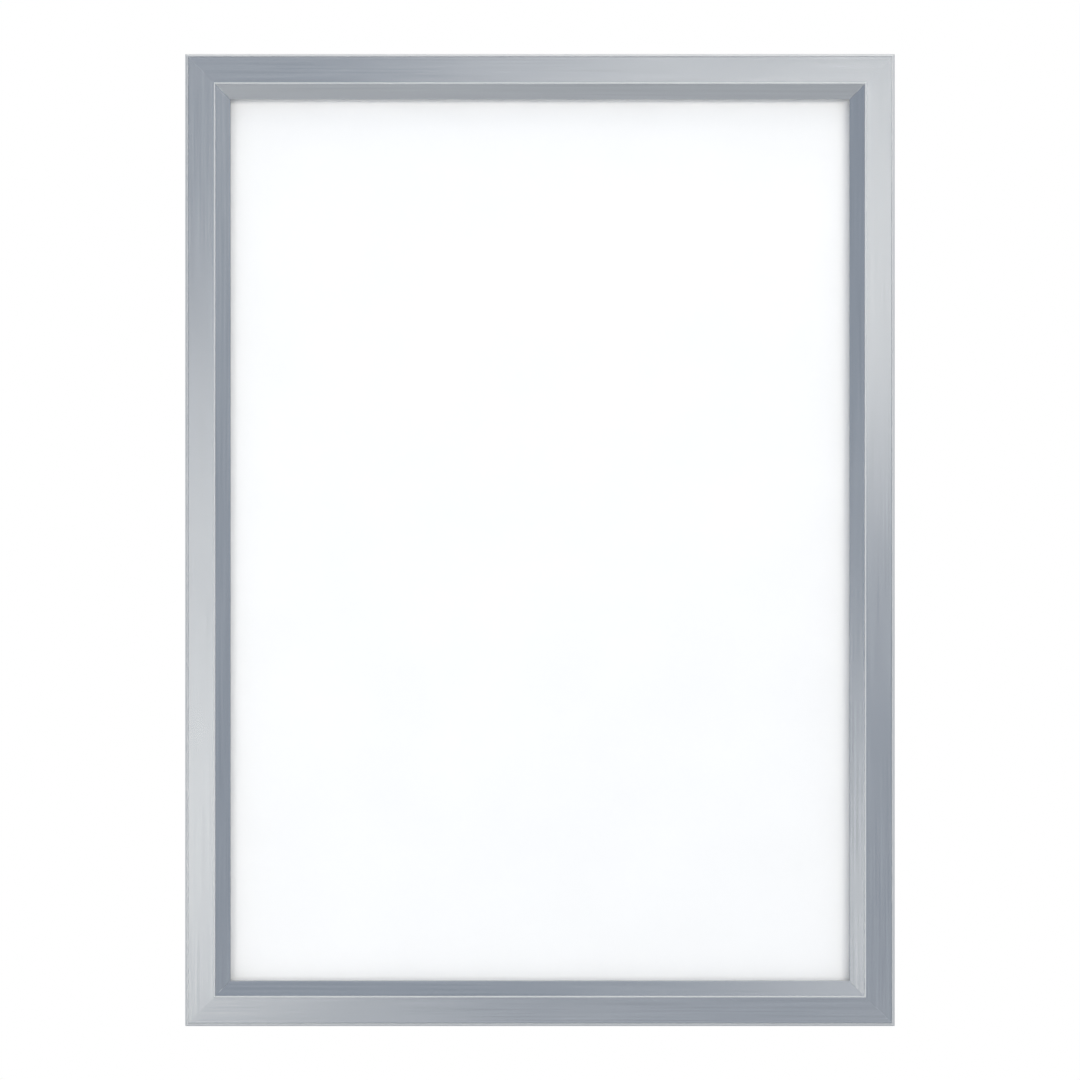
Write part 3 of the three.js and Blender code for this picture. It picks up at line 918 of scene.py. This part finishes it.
spring_thickness = 0.4 * mm
spring_width = 24 * mm
spring_corner = 1.5 * mm
spring_edge = 0.1 * mm
spring_edge_share = 0.8
spring_bow = math.radians(34)
rib_seat = Vector((10.6, 3.4)) * mm
claw_seat_reach = 2.4 * mm
claw_seat_angle = -56.79
claw_seat = arc(pivot, claw_seat_reach, claw_seat_angle, claw_seat_angle, steps=1)[0]
thinnest_half = 0.01 * mm
end_steps = [x * mm for x in (0, 0.02, 0.06, 0.12, 0.2, 0.35, 0.6, 0.9, 1.2, 1.5)]

spring_steel = grained_metal(
    "spring_steel", dark=(0.26, 0.27, 0.29), light=(0.36, 0.37, 0.39), roughness=(0.24, 0.36),
    line=(0.0003, 0.012), cloud_size=0.01, bump=2e-6, anisotropy=0.4,
)


def bowed_strip(name):
    """A strip of this width, bowed away from the wall between its two seats, with rolled edges."""
    chord = rib_seat - claw_seat
    radius = chord.length / 2 / math.sin(spring_bow)
    away = Vector((-chord.y, chord.x)).normalized() * radius * math.cos(spring_bow)
    centre = (claw_seat + rib_seat) / 2 - away
    start = math.atan2(*(claw_seat - centre).yx)
    end = math.atan2(*(rib_seat - centre).yx)
    half = spring_thickness / 2
    over = half / radius
    reach = radius * (start - end) + 2 * half
    middle_steps = [reach * i / 24 for i in range(6, 19)]
    strip = bmesh.new()
    rings = []
    for distance in end_steps + middle_steps + [reach - x for x in reversed(end_steps)]:
        near = min(distance, reach - distance)
        inset = half - min(near, half)
        thick = max(math.sqrt(half ** 2 - inset ** 2), thinnest_half)
        cut = spring_corner - min(near, spring_corner)
        wide = spring_width / 2 - spring_corner + math.sqrt(spring_corner ** 2 - cut ** 2)
        angle = start + over - distance / radius
        out = Vector((math.cos(angle), math.sin(angle)))
        round_by = min(spring_edge, spring_edge_share * thick)
        ring = []
        for side_s, side_r, first in ((1, 1, 0), (-1, 1, 90), (-1, -1, 180), (1, -1, 270)):
            middle = Vector((side_s * (wide - round_by), side_r * (thick - round_by)))
            for spot in arc(middle, round_by, first, first + 90, steps=3):
                place = centre + out * (radius + spot.y)
                ring.append(strip.verts.new((place.x, place.y, spot.x)))
        rings.append(ring)
    for low, high in zip(rings, rings[1:]):
        for i in range(len(low)):
            j = (i + 1) % len(low)
            strip.faces.new((low[i], low[j], high[j], high[i]))
    strip.faces.new(rings[0])
    strip.faces.new(rings[-1])
    bmesh.ops.recalc_face_normals(strip, faces=strip.faces)
    mesh = bpy.data.meshes.new(name)
    strip.to_mesh(mesh)
    strip.free()
    for face in mesh.polygons:
        face.use_smooth = True
    mesh.materials.append(spring_steel)
    return mesh


for side, (_, length, _) in sides.items():
    for i, distance in enumerate((-length / 4, length / 4), start=1):
        name = f"bowed_spring_{side}_{i}"
        spring = bpy.data.objects.new(name, bowed_strip(name))
        bpy.context.collection.objects.link(spring)
        settled(spring, place_of(side) @ Matrix.Translation((0, 0, distance)), sharp=50)
        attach(spring, f"{side}_spring_{i}")
        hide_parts(f"leaf_spring_{side}_{i}")

# The studio: a pale floor below the hanging frame, which fades into a white surround, a soft lamp to the
# upper right, one to the lower left and one overhead, three small ones that fill in between them, and a
# camera far in front, level with the middle of the frame.

floor_height = -0.30
floor_radius = 1.6
floor_fade = (0.7, 1.5)
white = (1, 1, 1, 1)
surround_grey = (0.522, 0.580, 0.670, 1)
lamp_tint = (1.0, 0.947, 0.852)
lamp_aim = 0.35
camera_distance = 4.0
camera_reach = 20
photo_width = 0.3577

bpy.ops.mesh.primitive_circle_add(vertices=96, radius=floor_radius, fill_type="NGON")
floor = bpy.context.object
floor.name = "studio_floor"
floor.data.transform(Matrix.Translation((0, 0, floor_height)))
floor_paint, tree = new_material("studio_floor")
place = node(tree, "ShaderNodeTexCoord").outputs["Object"]
flat = node(tree, "ShaderNodeVectorMath", {0: place, 1: (1, 1, 0)}, operation="MULTIPLY")
away = node(tree, "ShaderNodeVectorMath", {0: flat.outputs[0]}, operation="LENGTH")
fade = carried(tree, away.outputs["Value"], floor_fade, interpolation_type="SMOOTHSTEP")
behind = carried(tree, parts_of(tree, place)["Y"], (-0.2, 0.2))
rays = node(tree, "ShaderNodeLightPath").outputs
mirrored = maths(tree, "MULTIPLY", rays["Is Glossy Ray"], behind)
seen = maths(tree, "MAXIMUM", rays["Is Camera Ray"], mirrored)
paint = node(tree, "ShaderNodeBsdfPrincipled", {"Base Color": (0.78, 0.78, 0.78, 1), "Roughness": 0.8})
glow = node(tree, "ShaderNodeEmission", {"Color": white, "Strength": 1.0})
floor_surface = node(tree, "ShaderNodeMixShader", {
    0: maths(tree, "MULTIPLY", fade, seen), 1: paint.outputs[0], 2: glow.outputs[0],
})
node(tree, "ShaderNodeOutputMaterial", {"Surface": floor_surface.outputs[0]})
floor.data.materials.append(floor_paint)

world = bpy.data.worlds.new("studio")
bpy.context.scene.world = world
world.use_nodes = True
tree = world.node_tree
tree.nodes.clear()
rays = node(tree, "ShaderNodeLightPath").outputs
clear = maths(tree, "MAXIMUM", rays["Is Camera Ray"], rays["Is Transmission Ray"])
ahead = parts_of(tree, node(tree, "ShaderNodeTexCoord").outputs["Generated"])
behind_frame = carried(tree, ahead["Y"], (-0.15, 0.15))
mirrored = maths(tree, "MULTIPLY", behind_frame, rays["Is Glossy Ray"])
surround = node(tree, "ShaderNodeBackground", {"Color": surround_grey, "Strength": 1.0})
backdrop = node(tree, "ShaderNodeBackground", {"Color": white, "Strength": 1.0})
sky = node(tree, "ShaderNodeMixShader", {
    0: maths(tree, "MAXIMUM", clear, mirrored), 1: surround.outputs[0], 2: backdrop.outputs[0],
})
node(tree, "ShaderNodeOutputWorld", {"Surface": sky.outputs[0]})

for name, place, size, power in (
    ("upper_right_lamp", (0.709, -1.600, 0.501), (0.895, 0.328), 10.86),
    ("high_right_lamp", (0.176, -1.099, 0.981), (0.101, 0.190), 0.116),
    ("small_right_lamp", (0.065, -0.831, 0.100), (0.199, 0.149), 0.116),
    ("lower_left_lamp", (-0.379, -0.713, -0.177), (0.296, 0.204), 1.056),
    ("small_left_lamp", (-0.142, -1.121, -0.056), (0.101, 0.264), 0.137),
    ("overhead_lamp", (0, -0.13, 0.71), (1.0, 0.48), 1.90),
):
    lamp = bpy.data.lights.new(name, "AREA")
    lamp.shape = "RECTANGLE"
    lamp.size, lamp.size_y = size
    lamp.energy = power
    lamp.color = lamp_tint
    hung = bpy.data.objects.new(name, lamp)
    hung.location = place
    aim = Vector((lamp_aim * place[0], 0, lamp_aim * place[2])) - Vector(place)
    hung.rotation_euler = aim.to_track_quat("-Z", "Y").to_euler()
    hung.visible_camera = False
    bpy.context.collection.objects.link(hung)

camera = bpy.data.cameras.new("camera")
camera.lens = camera.sensor_width * camera_distance / photo_width
camera.clip_end = camera_reach
stand = bpy.data.objects.new("camera", camera)
stand.location = (0, -camera_distance - rail_front, 0)
stand.rotation_euler = (math.radians(90), 0, 0)
bpy.context.collection.objects.link(stand)
bpy.context.scene.camera = stand
bpy.context.scene.view_settings.view_transform = "Standard"
